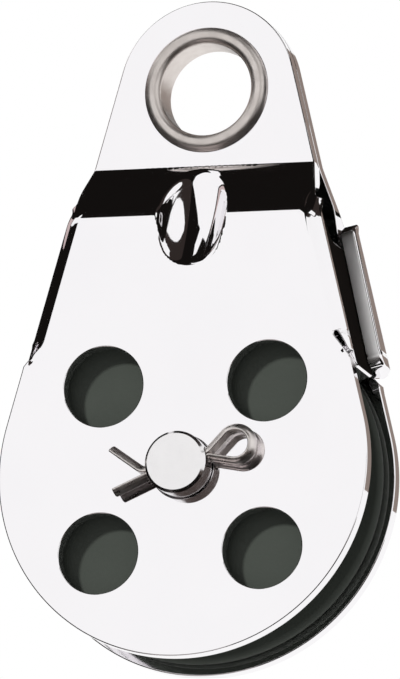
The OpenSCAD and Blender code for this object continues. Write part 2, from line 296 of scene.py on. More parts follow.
def sheet_point(points, inset, cheek):
    """Bends the flat pattern's points (x, height), at depths in the sheet, to a cheek that faces -Y."""
    x = points[:, 0]
    height = points[:, 1]
    across = abs(x) * COS_LEAN + height * SIN_LEAN
    upward = -abs(x) * SIN_LEAN + height * COS_LEAN
    start = bend_start(across, upward, cheek)
    bent = (across > start) & ((upward > cheek["slot"][0][1]) | (across > DISC_R + SURE_SIDE))
    past = np.where(bent, across - start, 0.0)
    fade = np.clip((upward - cheek["fade"][0]) / (cheek["fade"][1] - cheek["fade"][0]), 0, 1)
    curve = np.maximum((1 - eased(fade)) / cheek["bend_r"], LEAST_CURVE)
    radius = 1 / curve
    angle = np.minimum(past * curve, HALF_PI)
    straight = np.maximum(past - HALF_PI * radius, 0)
    across = np.where(bent, start + (radius - inset) * np.sin(angle), across)
    deep = np.where(bent, inset + (radius - inset) * (1 - np.cos(angle)) + straight, inset)
    x = np.where(x < 0, -1.0, 1.0) * (across * COS_LEAN - upward * SIN_LEAN)
    height = across * SIN_LEAN + upward * COS_LEAN
    y = deep - CHEEK_OUT + step_offset(height, inset)
    blend = DENT_BLEND + DENT_BLEND_BACK * inset / PLATE_T
    y = smooth_max(y, dent_face(x, height, DENT_R + inset), blend)
    from_eye = np.hypot(x, height - PIN_DROP)
    rise = np.clip((SEAT_R - from_eye) / SEAT_RISE + 0.5, 0, 1)
    y = y + SEAT_DEPTH * eased(rise) * (1 - inset / PLATE_T)
    return np.stack([x, y, height - PIN_DROP], 1)


def sheet_frame(points, inset, cheek):
    """Points of the bent sheet, its normals, and its two tangents along the pattern's axes."""
    at = sheet_point(points, inset, cheek)
    tangents = []
    for nudge in ([NUDGE, 0], [0, NUDGE]):
        ahead = sheet_point(points + nudge, inset, cheek)
        behind = sheet_point(points - np.array(nudge), inset, cheek)
        tangents.append((ahead - behind) / (2 * NUDGE))
    normal = unit_rows(np.cross(tangents[0], tangents[1]))
    return at, normal, tangents[0], tangents[1]


# Lines of the flat patterns


def arc(centre, r, start, end, step=LINE_STEP):
    """Points of an arc between two angles in degrees, ends included."""
    count = max(int(abs(math.radians(end - start)) * r / step), 3)
    angles = np.radians(np.linspace(start, end, count + 1))
    return np.stack([centre[0] + r * np.cos(angles), centre[1] + r * np.sin(angles)], 1)


def side_points(places):
    """Pattern points of the right side from distances across and along it."""
    places = np.asarray(places, float).reshape(-1, 2)
    across = places[:, 0]
    upward = places[:, 1]
    return np.stack([across * COS_LEAN - upward * SIN_LEAN, across * SIN_LEAN + upward * COS_LEAN], 1)


def dense(points, step=LINE_STEP):
    """The same open line with points no further apart than step."""
    line = [points[0]]
    for a, b in zip(points[:-1], points[1:]):
        count = max(int(math.ceil(np.linalg.norm(b - a) / step)), 1)
        line += [a + (b - a) * k / count for k in range(1, count + 1)]
    return np.array(line)


def rounded(points, radii):
    """An open line with its inner corners rounded."""
    points = [np.array(p, float) for p in points]
    line = [points[0]]
    for before, corner, after, r in zip(points[:-2], points[1:-1], points[2:], radii):
        to_before = unit(before - corner)
        to_after = unit(after - corner)
        half = math.acos(max(-1, min(1, float(to_before @ to_after)))) / 2
        run = r / math.tan(half)
        centre = corner + unit(to_before + to_after) * (r / math.sin(half))
        a = corner + to_before * run - centre
        b = corner + to_after * run - centre
        start = math.atan2(a[1], a[0])
        turn = math.atan2(a[0] * b[1] - a[1] * b[0], float(a @ b))
        for k in range(CORNER_STEPS + 1):
            angle = start + turn * k / CORNER_STEPS
            line.append(centre + r * np.array([math.cos(angle), math.sin(angle)]))
    line.append(points[-1])
    return np.array(line)


def slot_lines(slot):
    """A relief slot's lower edge at its mouth, its round tip and its upper edge, across and along a side."""
    mouth = np.array(slot[0], float)
    tip = np.array(slot[1], float)
    way = unit(tip - mouth)
    left = np.array([-way[1], way[0]])
    left = left if left[0] < 0 else -left
    angles = np.linspace(0, math.pi, CORNER_STEPS + 1)
    turn = [tip + SLOT_HALF * (math.cos(t) * left + math.sin(t) * way) for t in angles]
    return mouth + SLOT_HALF * left - way, turn, mouth - SLOT_HALF * left


def side_line(low, turn, high, corners, last):
    """Right side of a pattern above its round end: up to the slot, round its tip and along an outline."""
    before_slot = 0.6
    lip = 0.3
    lip_r = 0.4
    start = rounded([(DISC_R, 0.0), (DISC_R, low[1] - before_slot), low + [0.0, lip]], [lip_r])
    outline = rounded([high] + [at for at, r in corners] + [last], [r for at, r in corners])
    return dense(side_points(np.vstack([start, turn, outline])))


def front_side():
    """Right side of the front cheek's flat pattern, with its flange."""
    leg = FRONT["bend_at"] + HALF_PI * FRONT["bend_r"]
    foot = along(FLANGE_LOW - FLANGE_HANG, FLANGE_FACE)
    back = leg + FLANGE_DEPTH
    top = along(FLANGE_HIGH, FLANGE_FACE)
    leg_high = along(LEG_HIGH, FLANGE_FACE)
    low, turn, high = slot_lines(FRONT["slot"])
    hem = 0.1
    top_rise = 0.5
    top_run = 3
    top_r = 0.5
    corners = [
        ((leg - hem, high[1] + hem), SLOT_CORNER_R),
        ((leg, foot), STEEP_CORNER_R),
        ((back, foot), FREE_CORNER_R),
        ((back, leg_high), FREE_CORNER_R),
        ((leg + LEG_SLANT, leg_high), BLUNT_CORNER_R),
        ((leg - hem, top), STEEP_CORNER_R),
        ((DISC_R, top + top_rise), top_r),
    ]
    return side_line(low, turn, high, corners, (DISC_R, top + top_run))


def rear_side():
    """Right side of the rear cheek's flat pattern, with its tab."""
    leg = REAR["bend_at"] + (HALF_PI - 1) * REAR["bend_r"]
    tab_low = along(TAB_LOW, TAB_FACE)
    tab_high = along(TAB_HIGH, TAB_FACE)
    low, turn, high = slot_lines(REAR["slot"])
    mouth = 0.5
    mouth_r = 0.2
    top_run = 2
    corners = [
        ((high[0] + mouth, tab_low), mouth_r),
        ((leg + TAB_REACH_LOW, tab_low), FREE_CORNER_R),
        ((leg + TAB_REACH_TOP, tab_high), FREE_CORNER_R),
        ((DISC_R, tab_high), SLOT_CORNER_R),
    ]
    return side_line(low, turn, high, corners, (DISC_R, tab_high + top_run))


def cheek_outline(side):
    """Closed outline of a flat pattern from the right side above its round lower end."""
    lean = math.degrees(SIDE_LEAN)
    tongue_foot = side_points([(DISC_R, PIN_DROP * COS_LEAN)])
    right = np.vstack([
        arc((0, 0), DISC_R, -90, lean)[:-1],
        side,
        dense(np.vstack([side[-1:], tongue_foot]))[1:-1],
        arc((0, PIN_DROP), TONGUE_R, lean, 90),
    ])
    left = right[::-1] * [-1, 1]
    return np.vstack([right, left[1:-1]])


def clean_loop(loop):
    """The same closed loop without points that lie too close to the one before."""
    keep = [loop[0]]
    for p in loop[1:]:
        if np.linalg.norm(p - keep[-1]) > LOOP_GAP:
            keep.append(p)
    if np.linalg.norm(keep[-1] - keep[0]) <= LOOP_GAP:
        keep.pop()
    return np.array(keep)


def cheek_loops(side):
    """The outline of a flat pattern and its six round holes."""
    holes = [((0, 0), PIN_HOLE_R), ((0, PIN_DROP), EYE_HOLE_R)]
    holes += [((x, h), HOLE_R) for x in (-HOLE_AT, HOLE_AT) for h in (-HOLE_AT, HOLE_AT)]
    loops = [cheek_outline(side)]
    loops += [arc(centre, r, 0, -360, FINE_STEP) for centre, r in holes]
    return [clean_loop(loop) for loop in loops]


def outward(loop):
    """Normals out of a closed counterclockwise loop, as long as the mitre of a line at distance 1."""
    least_share = 0.4
    before = unit_rows(loop - np.roll(loop, 1, 0))
    after = unit_rows(np.roll(loop, -1, 0) - loop)
    normal_before = np.stack([before[:, 1], -before[:, 0]], 1)
    normal_after = np.stack([after[:, 1], -after[:, 0]], 1)
    mitre = unit_rows(normal_before + normal_after)
    return mitre / np.maximum((mitre * normal_before).sum(1), least_share)[:, None]


def inside(points, loops):
    """Even-odd test of points against closed loops."""
    odd = np.zeros(len(points), bool)
    for loop in loops:
        for p, q in zip(loop, np.roll(loop, -1, 0)):
            if p[1] == q[1]:
                continue
            level = (points[:, 1] < max(p[1], q[1])) & (points[:, 1] >= min(p[1], q[1]))
            crossing = p[0] + (points[:, 1] - p[1]) * (q[0] - p[0]) / (q[1] - p[1])
            odd ^= level & (points[:, 0] < crossing)
    return odd


def rim_radii(loop):
    """Rounding of the outer face's rim along a loop, wider where a flange or tab was sheared."""
    across = abs(loop[:, 0]) * COS_LEAN + loop[:, 1] * SIN_LEAN
    return np.where(across > SHEARED_FROM, SHEARED_RIM_R, RIM_R)


# Meshes of the cheeks


def free_points(cheek, edges):
    """Pattern points inside a cheek's edges, close together where the sheet is curved."""
    step_rows = [np.arange(*rows) for rows in STEP_ROWS]
    dent = grid(np.arange(*DENT_COLUMNS), np.arange(*DENT_ROWS))
    dent[:, 0] += DENT_SWAY * np.sin(dent[:, 1] * DENT_SWAY_RATE)
    bend_at = cheek["bend_at"]
    bend_end = bend_at + HALF_PI * cheek["bend_r"]
    bend = np.arange(bend_at - BEND_MARGIN, bend_end + BEND_MARGIN, BEND_STEP)
    leg = np.arange(bend_end + LEG_GAP, bend_at + LEG_REACH, LEG_STEP)
    upward = np.arange(cheek["slot"][0][1] - SIDE_MARGIN, cheek["fade"][0] + SIDE_REACH, SIDE_STEP)
    right = side_points(grid(np.concatenate([bend, leg]), upward))
    right = right[right[:, 1] < SIDE_TOP]
    plate = grid(np.arange(*PLATE_COLUMNS), np.arange(*PLATE_ROWS))
    step = grid(np.arange(*STEP_COLUMNS), np.concatenate(step_rows))
    sets = [plate, step, dent, right, right * [-1, 1]]
    for r in SEAT_R + SEAT_RINGS:
        angles = np.radians(np.arange(0, 360, SEAT_RING_STEP) + SEAT_RING_TURN * r)
        sets.append(np.stack([r * np.cos(angles), PIN_DROP + r * np.sin(angles)], 1))
    points = np.vstack(sets)
    points = points[inside(points, edges)]
    tree = kdtree.KDTree(sum(len(edge) for edge in edges))
    for number, (x, height) in enumerate(np.vstack(edges)):
        tree.insert((x, height, 0), number)
    tree.balance()
    return np.array([p for p in points if tree.find((p[0], p[1], 0))[2] > FREE_GAP])


def fill_pattern(edges, free):
    """Points and triangles of a flat pattern between its edges, and the number of each given point."""
    merge_gap = 1e-7
    given = np.vstack(edges + [free])
    ties = []
    first = 0
    for edge in edges:
        ties += [(first + k, first + (k + 1) % len(edge)) for k in range(len(edge))]
        first += len(edge)
    found = geometry.delaunay_2d_cdt([Vector(p) for p in given], ties, [], 0, merge_gap)
    points = np.array([tuple(p) for p in found[0]])
    triangles = np.array([face for face in found[2] if len(face) == 3])
    triangles = triangles[inside(points[triangles].mean(1), edges)]
    numbers = np.zeros(len(given), int)
    for number, sources in enumerate(found[3]):
        numbers[sources] = number
    sides = points[triangles] - points[triangles[:, :1]]
    turn = np.cross(sides[:, 1], sides[:, 2])
    triangles[turn < 0] = triangles[turn < 0][:, ::-1]
    return points, triangles, numbers


def make_cheek(name, cheek, side, rear):
    """The finished sheet of a cheek, as one closed mesh with rounded rims."""
    loops = cheek_loops(side)
    outs = [outward(loop) for loop in loops]
    radii = [rim_radii(loop) for loop in loops]
    edges = [loop - r[:, None] * out for loop, out, r in zip(loops, outs, radii)]
    points, triangles, numbers = fill_pattern(edges, free_points(cheek, edges))
    verts = []
    normals = []

    def add(at, normal):
        """Adds points with their normals, and returns their numbers."""
        first = sum(len(block) for block in verts)
        verts.append(at)
        normals.append(normal)
        return first + np.arange(len(at))

    outer_at, outer_normal, _, _ = sheet_frame(points, 0.0, cheek)
    inner_at, inner_normal, _, _ = sheet_frame(points, PLATE_T, cheek)
    outer = add(outer_at, outer_normal)
    inner = add(inner_at, -inner_normal)
    faces = [tuple(outer[t]) for t in triangles] + [tuple(inner[t[::-1]]) for t in triangles]
    # The rim's section runs from the outer face to the inner one, as a quarter round at each of them
    quarter = [HALF_PI * k / RIM_STEPS for k in range(RIM_STEPS + 1)]
    tilts = quarter[1:] + [math.pi - tilt for tilt in quarter[:0:-1]]
    first = 0
    for loop, out, outer_r in zip(loops, outs, radii):
        flat_out = unit_rows(out)
        own = numbers[first:first + len(loop)]
        rows = [outer[own]]
        for k, tilt in enumerate(tilts):
            on_outer = k < RIM_STEPS
            r = outer_r if on_outer else np.full(len(loop), RIM_R)
            draw = r * (1 - math.sin(tilt))
            depth = r * (1 - math.cos(tilt)) if on_outer else PLATE_T - r * (1 + math.cos(tilt))
            at, normal, across, upward = sheet_frame(loop - draw[:, None] * out, depth, cheek)
            lateral = unit_rows(across * flat_out[:, :1] + upward * flat_out[:, 1:])
            rows.append(add(at, math.cos(tilt) * normal + math.sin(tilt) * lateral))
        rows.append(inner[own])
        for a, b in zip(rows[:-1], rows[1:]):
            faces += [tuple(quad) for quad in np.stack([a, b, np.roll(b, -1), np.roll(a, -1)], 1)]
        first += len(loop)
    verts = np.vstack(verts)
    normals = np.vstack(normals)
    if rear:
        verts[:, 1] *= -1
        normals[:, 1] *= -1
        faces = [face[::-1] for face in faces]
    return smooth_object(name, verts, faces, normals)


# Turned pieces


def section(corners, radii, steps):
    """A closed profile with rounded corners, given counterclockwise: its points and its outward normals."""
    small_r = 0.3
    small_steps = 4
    at = []
    normals = []
    for k, (corner, r) in enumerate(zip(corners, radii)):
        p = np.array(corner, float)
        way_in = unit(p - corners[k - 1])
        way_out = unit(np.array(corners[(k + 1) % len(corners)]) - p)
        start = math.atan2(way_in[1], way_in[0])
        turn = math.atan2(way_in[0] * way_out[1] - way_in[1] * way_out[0], float(way_in @ way_out))
        side = math.copysign(1, turn)
        centre = p - way_in * r * math.tan(abs(turn) / 2) + side * r * np.array([-way_in[1], way_in[0]])
        count = steps if r > small_r else (small_steps if r > 0 else 1)
        for j in range(count + 1):
            angle = start + turn * j / count
            normal = np.array([math.sin(angle), -math.cos(angle)])
            at.append(centre + side * r * normal)
            normals.append(normal)
    return np.array(at), np.array(normals)


def turned(name, corners, radii, height=0.0, segments=168, steps=6):
    """A closed profile of radius and Y, turned about the Y axis at a height."""
    on_axis = 1e-6
    at, profile_normals = section(corners, radii, steps)
    angles = np.arange(segments) * 2 * math.pi / segments

    def spun(profile):
        x = np.outer(np.cos(angles), profile[:, 0])
        y = np.tile(profile[:, 1], (segments, 1))
        z = np.outer(np.sin(angles), profile[:, 0])
        return np.stack([x, y, z], 2).reshape(-1, 3)

    count = len(at)
    faces = []
    for k in range(segments):
        here = k * count
        there = (k + 1) % segments * count
        for i in range(count):
            j = (i + 1) % count
            if np.linalg.norm(at[i] - at[j]) < on_axis or (at[i][0] < on_axis and at[j][0] < on_axis):
                continue
            quad = (here + i, there + i, there + j, here + j)
            if at[i][0] < on_axis:
                quad = (here + i, there + j, here + j)
            elif at[j][0] < on_axis:
                quad = quad[:3]
            faces.append(quad)
    return smooth_object(name, spun(at) + [0, 0, height], faces, spun(profile_normals))


def outward_faces(obj):
    """Turns all faces round if they look against their own normals."""
    mesh = obj.data
    corner = [tuple(c.vector) for c in mesh.corner_normals]
    score = sum(1 if face.normal.dot(Vector(corner[face.loop_start])) > 0 else -1 for face in mesh.polygons)
    if score < 0:
        normals = [(0, 0, 0)] * len(mesh.vertices)
        for loop, normal in zip(mesh.loops, corner):
            normals[loop.vertex_index] = normal
        mesh.flip_normals()
        mesh.normals_split_custom_set_from_vertices(normals)
    return obj


# Ferrule, sheave, bush and washers, with the sizes of the CAD source
EYE_R = 6.0
TUBE_R = EYE_HOLE_R
LIP_R = 8.15
LIP_TOP = 2.9
LIP_SEAT = 1.86
BUSH_OUT = 5.56
HUB_R = 9
HUB_HALF = 4.8
WEB_HALF = 4.1
RIM_IN_R = 21
SHEAVE_R = 23.1
GROOVE_HALF = 3.3
GROOVE_FLOOR_R = 16.9
WASHER_R = 8
WASHER_NEAR = 4.85
WASHER_FAR = 5.25


def rolled_ferrule():
    half = [(LIP_R, LIP_SEAT), (LIP_R, LIP_TOP), (EYE_R, LIP_TOP)]
    corners = [(r, -y) for r, y in half[::-1]] + [(TUBE_R, -LIP_SEAT), (TUBE_R, LIP_SEAT)] + half
    bore_round = 0.85
    lip_round = 1.0
    seat_round = 0.15
    radii = [bore_round, lip_round, seat_round, 0]
    return turned("rolled_ferrule", corners, radii + radii[::-1], steps=12)


def moulded_sheave():
    bore_round = 0.1
    face_round = 0.15
    web_round = 0.2
    rim_round = 0.74
    floor_round = 3.29
    half = [
        (BUSH_OUT, HUB_HALF, bore_round),
        (HUB_R, HUB_HALF, face_round),
        (HUB_R, WEB_HALF, web_round),
        (RIM_IN_R, WEB_HALF, web_round),
        (RIM_IN_R, HUB_HALF, face_round),
        (SHEAVE_R, HUB_HALF, rim_round),
        (SHEAVE_R, GROOVE_HALF, rim_round),
        (GROOVE_FLOOR_R, GROOVE_HALF, floor_round),
    ]
    corners = [(r, -y) for r, y, rounding in half] + [(r, y) for r, y, rounding in half[::-1]]
    radii = [rounding for r, y, rounding in half]
    return turned("moulded_sheave", corners, radii + radii[::-1], -PIN_DROP, segments=224, steps=10)


def ring(name, r, low, high, bore_round, outer_round):
    """A plain ring on the clevis pin, between two places along Y."""
    corners = [(PIN_HOLE_R, low), (r, low), (r, high), (PIN_HOLE_R, high)]
    return turned(name, corners, [bore_round, outer_round, outer_round, bore_round], -PIN_DROP)


def pressed_bush():
    return ring("pressed_bush", BUSH_OUT, -HUB_HALF, HUB_HALF, bore_round=0.15, outer_round=0.08)


def washer_disc(name, side):
    low, high = sorted((side * WASHER_FAR, side * WASHER_NEAR))
    return ring(name, WASHER_R, low, high, bore_round=0.06, outer_round=0.12)


# Clevis pin
PIN_R = 4.0
PIN_TIP = -10.7
PIN_CHAMFER = 0.35
DIMPLE_R = 0.8
DIMPLE_DEPTH = 0.12
UNDER_HEAD = 7.35
UNDER_HEAD_ROUND = 0.1
HEAD_R = 5.75
HEAD_TOP = 9.75
HEAD_ROUND = 0.7
CROSS_HOLE_R = 1.15
# Points nearer than this to the cross hole's axis lie on its wall
CROSS_HOLE_REACH = 1.2
COTTER_TURN = math.radians(15)
COTTER_Y = -9.0
COTTER_CENTRE = Vector((0, COTTER_Y * MM, -PIN_DROP * MM))


def straightened(mesh, choices):
    """Gives each corner of each face the nearest of the exact normals that choices lists for its place."""
    least_match = 0.94
    normals = [None] * len(mesh.loops)
    for face in mesh.polygons:
        for k in face.loop_indices:
            co = mesh.vertices[mesh.loops[k].vertex_index].co
            best = max((c.normalized() for c in choices(co)), key=lambda c: c.dot(face.normal))
            normals[k] = tuple(best if best.dot(face.normal) > least_match else face.normal)
    mesh.polygons.foreach_set("use_smooth", [True] * len(mesh.polygons))
    mesh.normals_split_custom_set(normals)


def pin_normals(co):
    """Exact normals that the clevis pin can have at a point: ends, side, chamfer, head and cross hole."""
    radial = Vector((co.x, 0, co.z + PIN_DROP * MM))
    r = radial.length
    radial.normalize()
    normals = [Vector((0, 1, 0)), Vector((0, -1, 0)), radial, radial + Vector((0, -1, 0))]
    if r > (HEAD_R - HEAD_ROUND) * MM and co.y > (HEAD_TOP - HEAD_ROUND) * MM:
        up = Vector((0, co.y - (HEAD_TOP - HEAD_ROUND) * MM, 0))
        normals.append(radial * (r - (HEAD_R - HEAD_ROUND) * MM) + up)
    axis = Vector((math.cos(COTTER_TURN), 0, math.sin(COTTER_TURN)))
    from_axis = co - COTTER_CENTRE
    from_axis = from_axis - axis * from_axis.dot(axis)
    if from_axis.length < CROSS_HOLE_REACH * MM:
        normals.append(-from_axis)
    return normals


def cross_drill():
    """A tool of the size of the cotter pin's hole, across the clevis pin."""
    mesh = bpy.data.meshes.new("drill")
    bm = bmesh.new()
    r = CROSS_HOLE_R * MM
    bmesh.ops.create_cone(bm, cap_ends=True, segments=40, radius1=r, radius2=r, depth=4 * PIN_R * MM)
    turn = Matrix.Rotation(-COTTER_TURN, 4, "Y") @ Matrix.Rotation(HALF_PI, 4, "Y")
    bmesh.ops.transform(bm, matrix=Matrix.Translation(COTTER_CENTRE) @ turn, verts=bm.verts)
    bm.to_mesh(mesh)
    bm.free()
    return add_object("drill", mesh)


def turned_pin():
    corners = [
        (0, PIN_TIP + DIMPLE_DEPTH),
        (DIMPLE_R, PIN_TIP),
        (PIN_R - PIN_CHAMFER, PIN_TIP),
        (PIN_R, PIN_TIP + PIN_CHAMFER),
        (PIN_R, UNDER_HEAD),
        (HEAD_R, UNDER_HEAD),
        (HEAD_R, HEAD_TOP),
        (0, HEAD_TOP),
    ]
    radii = [0, 0, 0, 0, 0, UNDER_HEAD_ROUND, HEAD_ROUND, 0]
    pin = turned("turned_pin", corners, radii, -PIN_DROP, segments=144, steps=8)
    bm = bmesh.new()
    bm.from_mesh(pin.data)
    bmesh.ops.remove_doubles(bm, verts=bm.verts, dist=1e-6)
    bm.to_mesh(pin.data)
    bm.free()
    drill = cross_drill()
    cut = pin.modifiers.new("cut", "BOOLEAN")
    cut.operation = "DIFFERENCE"
    cut.object = drill
    cut.solver = "EXACT"
    mesh = bpy.data.meshes.new_from_object(pin.evaluated_get(bpy.context.evaluated_depsgraph_get()))
    pin.modifiers.clear()
    pin.data = mesh
    bpy.data.objects.remove(drill)
    straightened(mesh, pin_normals)
    return pin


# Cotter pin, of half-round wire whose flat sides touch
WIRE_EDGE_R = 0.14
# Angle at which the round side of the section meets its rounded edges, in degrees
WIRE_EDGE_AT = 11
WIRE_STEP = 0.5
LEG_BEND_R = 1.8
# Angle in degrees and length of each leg beyond the clevis pin
UPPER_LEG = (50, 4.4)
LOWER_LEG = (9, 4.6)
EYE_WIRE_R = 1.7
EYE_DISTANCE = 3.9
EYE_LEAN = math.radians(3)
EYE_STEPS = 40
NECK = 0.4
NECK_R = 1.2
# How far a leg's end is domed, and the share of the section that its flat top keeps
WIRE_DOME = 0.12
WIRE_DOME_SHARE = 0.86
WIRE_MIDDLE = np.array([0, 0.45])


def leg_points(angle, length, side):
    """End and corner of a leg that leaves the clevis pin to the left and bends to one side."""
    turn = math.radians(angle)
    bend = np.array([-PIN_R - LEG_BEND_R * math.sin(turn), LEG_BEND_R * (1 - math.cos(turn))])
    end = bend + length * np.array([-math.cos(turn), math.sin(turn)])
    corner = np.array([-PIN_R - LEG_BEND_R * math.tan(turn / 2), 0])
    return end * [1, side], corner * [1, side]


def wire_path():
    """Centre line of the cotter pin's wire in its own plane, X towards its eye, from leg end to leg end."""
    heart = np.array([PIN_R + EYE_DISTANCE * math.cos(EYE_LEAN), EYE_DISTANCE * math.sin(EYE_LEAN)])
    neck = np.array([PIN_R + NECK, 0.0])
    reach = HALF_PI + math.asin(EYE_WIRE_R / EYE_DISTANCE)
    start = EYE_LEAN + reach
    end = EYE_LEAN - reach
    touch = [heart + EYE_WIRE_R * np.array([math.cos(angle), math.sin(angle)]) for angle in (start, end)]
    upper_end, upper_corner = leg_points(*UPPER_LEG, 1)
    lower_end, lower_corner = leg_points(*LOWER_LEG, -1)
    upper = rounded([upper_end, upper_corner, neck, touch[0]], [LEG_BEND_R, NECK_R])
    lower = rounded([touch[1], neck, lower_corner, lower_end], [NECK_R, LEG_BEND_R])
    angles = np.linspace(start, end, EYE_STEPS)[1:-1]
    eye = heart + EYE_WIRE_R * np.stack([np.cos(angles), np.sin(angles)], 1)
    return np.vstack([dense(upper, WIRE_STEP), eye, dense(lower, WIRE_STEP)])


def half_round():
    """Points and normals of the wire's section, with rounded edges between its flat and its round side."""
    edge_steps = 7
    round_steps = 19
    left_at = 180 - WIRE_EDGE_AT
    right_edge = [(angle, 1) for angle in np.linspace(-90, WIRE_EDGE_AT, edge_steps)]
    round_side = [(angle, 0) for angle in np.linspace(WIRE_EDGE_AT, left_at, round_steps)[1:-1]]
    left_edge = [(angle, -1) for angle in np.linspace(left_at, 270, edge_steps)]
    edge_at = math.radians(WIRE_EDGE_AT)
    points = []
    normals = []
    for angle, edge in right_edge + round_side + left_edge:
        normal = np.array([math.cos(math.radians(angle)), math.sin(math.radians(angle))])
        centre = np.array([edge * math.cos(edge_at), math.sin(edge_at)]) * (1 - WIRE_EDGE_R)
        points.append(centre + WIRE_EDGE_R * normal if edge else normal)
        normals.append(normal)
    return np.array(points), np.array(normals)


def bent_cotter():
    path = wire_path()
    way = unit_rows(np.gradient(path, axis=0))
    side = np.stack([-way[:, 1], way[:, 0]], 1)
    wire, wire_normals = half_round()
    dome = WIRE_MIDDLE + (wire - WIRE_MIDDLE) * WIRE_DOME_SHARE
    count = len(wire)
    # A section, how far it is pushed out of the wire's end, and how far its normals turn towards the end
    dome_row = (dome, WIRE_DOME, 0.999)
    rim_row = (wire, 0.0, 0.3)
    side_row = (wire, 0.0, 0.0)
    first = (path[0], -way[0], side[0])
    last = (path[-1], way[-1], side[-1])
    rows = [first + dome_row, first + rim_row]
    rows += [(at, ahead, across) + side_row for at, ahead, across in zip(path, way, side)]
    rows += [last + rim_row, last + dome_row]
    verts = []
    normals = []
    for at, ahead, across, points, push, share in rows:
        for point, normal in zip(points, wire_normals):
            flat = at + push * ahead + point[1] * across
            aim = (1 - share) * normal[1] * across + share * ahead
            aim = np.array([aim[0], (1 - share) * normal[0], aim[1]])
            verts.append((flat[0], point[0], flat[1]))
            normals.append(unit(aim))
    faces = []
    # The rim's rows lie on the side's first and last rows, with normals of their own
    doubled = (1, len(rows) - 3)
    for j in range(len(rows) - 1):
        if j in doubled:
            continue
        for i in range(count):
            after = (i + 1) % count
            faces.append((j * count + i, j * count + after, (j + 1) * count + after, (j + 1) * count + i))
    faces.append(tuple(range(count))[::-1])
    faces.append(tuple((len(rows) - 1) * count + i for i in range(count)))
    cos_turn = math.cos(COTTER_TURN)
    sin_turn = math.sin(COTTER_TURN)
    spin = np.array([[cos_turn, 0, -sin_turn], [0, 1, 0], [sin_turn, 0, cos_turn]])
    verts = np.array(verts) @ spin.T + [0, COTTER_Y, -PIN_DROP]
    return smooth_object("bent_cotter", verts, faces, np.array(normals) @ spin.T)


# Materials


def fill(tree, sockets, values):
    """Sets a node's inputs to values, or links them to other nodes' outputs."""
    for key, value in values.items():
        if isinstance(value, bpy.types.NodeSocket):
            tree.links.new(value, sockets[key])
        else:
            sockets[key].default_value = value


def add_node(tree, kind, inputs, **settings):
    """Adds a node with its settings and inputs, and returns its outputs."""
    node = tree.nodes.new("ShaderNode" + kind)
    for key, value in settings.items():
        setattr(node, key, value)
    fill(tree, node.inputs, inputs)
    return node.outputs


def material(name, metallic, build, specular=0.5):
    """A material whose build function gives its procedural colour, roughness and normal."""
    mat = bpy.data.materials.new(name)
    mat.use_nodes = True
    tree = mat.node_tree
    colour, roughness, normal = build(tree)
    fill(tree, tree.nodes["Principled BSDF"].inputs, {
        "Metallic": metallic,
        "Specular IOR Level": specular,
        "Base Color": colour,
        "Roughness": roughness,
        "Normal": normal,
    })
    return mat


def spread(tree, source, low, high):
    """Maps the middle of a noise to numbers between low and high."""
    inputs = {"Value": source, "From Min": 0.3, "From Max": 0.7, "To Min": low, "To Max": high}
    return add_node(tree, "MapRange", inputs)["Result"]


def coords(tree, scale=(1, 1, 1)):
    places = add_node(tree, "TexCoord", {})["Object"]
    return add_node(tree, "Mapping", {"Vector": places, "Scale": scale})["Vector"]


def noise(tree, vector, scale, detail):
    return add_node(tree, "TexNoise", {"Vector": vector, "Scale": scale, "Detail": detail})["Fac"]


def mixed(tree, share, first, second):
    inputs = {"Factor": share, "A": (*first, 1), "B": (*second, 1)}
    return add_node(tree, "Mix", inputs, data_type="RGBA")["Result"]


def bump(tree, height, strength, distance):
    inputs = {"Height": height, "Strength": strength, "Distance": distance}
    return add_node(tree, "Bump", inputs)["Normal"]


def polished(tree):
    """Mirror polish with faint buffing haze and the slightest waviness."""
    at = coords(tree)
    haze = noise(tree, at, scale=90, detail=5)
    wave = noise(tree, at, scale=160, detail=1)
    colour = mixed(tree, haze, (0.90, 0.885, 0.905), (0.935, 0.92, 0.935))
    roughness = spread(tree, haze, low=0.03, high=0.07)
    return colour, roughness, bump(tree, wave, strength=0.03, distance=0.0002)


def satin(light, dark, low, high, stretch=(1, 1, 1), grain=900):
    """Fine grained metal between two colours and two roughnesses."""
    def build(tree):
        fine = noise(tree, coords(tree, stretch), scale=grain, detail=6)
        broad = noise(tree, coords(tree), scale=140, detail=3)
        colour = mixed(tree, broad, dark, light)
        roughness = spread(tree, fine, low, high)
        return colour, roughness, bump(tree, fine, strength=0.12, distance=0.00005)
    return build


def moulded(light, dark, low, high):
    """Moulded plastic with a fine skin, between two colours and two roughnesses."""
    def build(tree):
        at = coords(tree)
        fine = noise(tree, at, scale=2200, detail=3)
        broad = noise(tree, at, scale=160, detail=4)
        colour = mixed(tree, broad, dark, light)
        roughness = spread(tree, fine, low, high)
        return colour, roughness, bump(tree, fine, strength=0.2, distance=0.00006)
    return build


cheek_steel = material("cheek_steel", metallic=1.0, build=polished)
# The legs of the front flanges, painted as plain dark strips: a painted dark reflection in place of the
# polished steel that they really are
painted_dark_reflection = material(
    "painted_dark_reflection", metallic=0.0, specular=0.0,
    build=satin(light=(0.021, 0.017, 0.015), dark=(0.013, 0.011, 0.010), low=0.4, high=0.6))
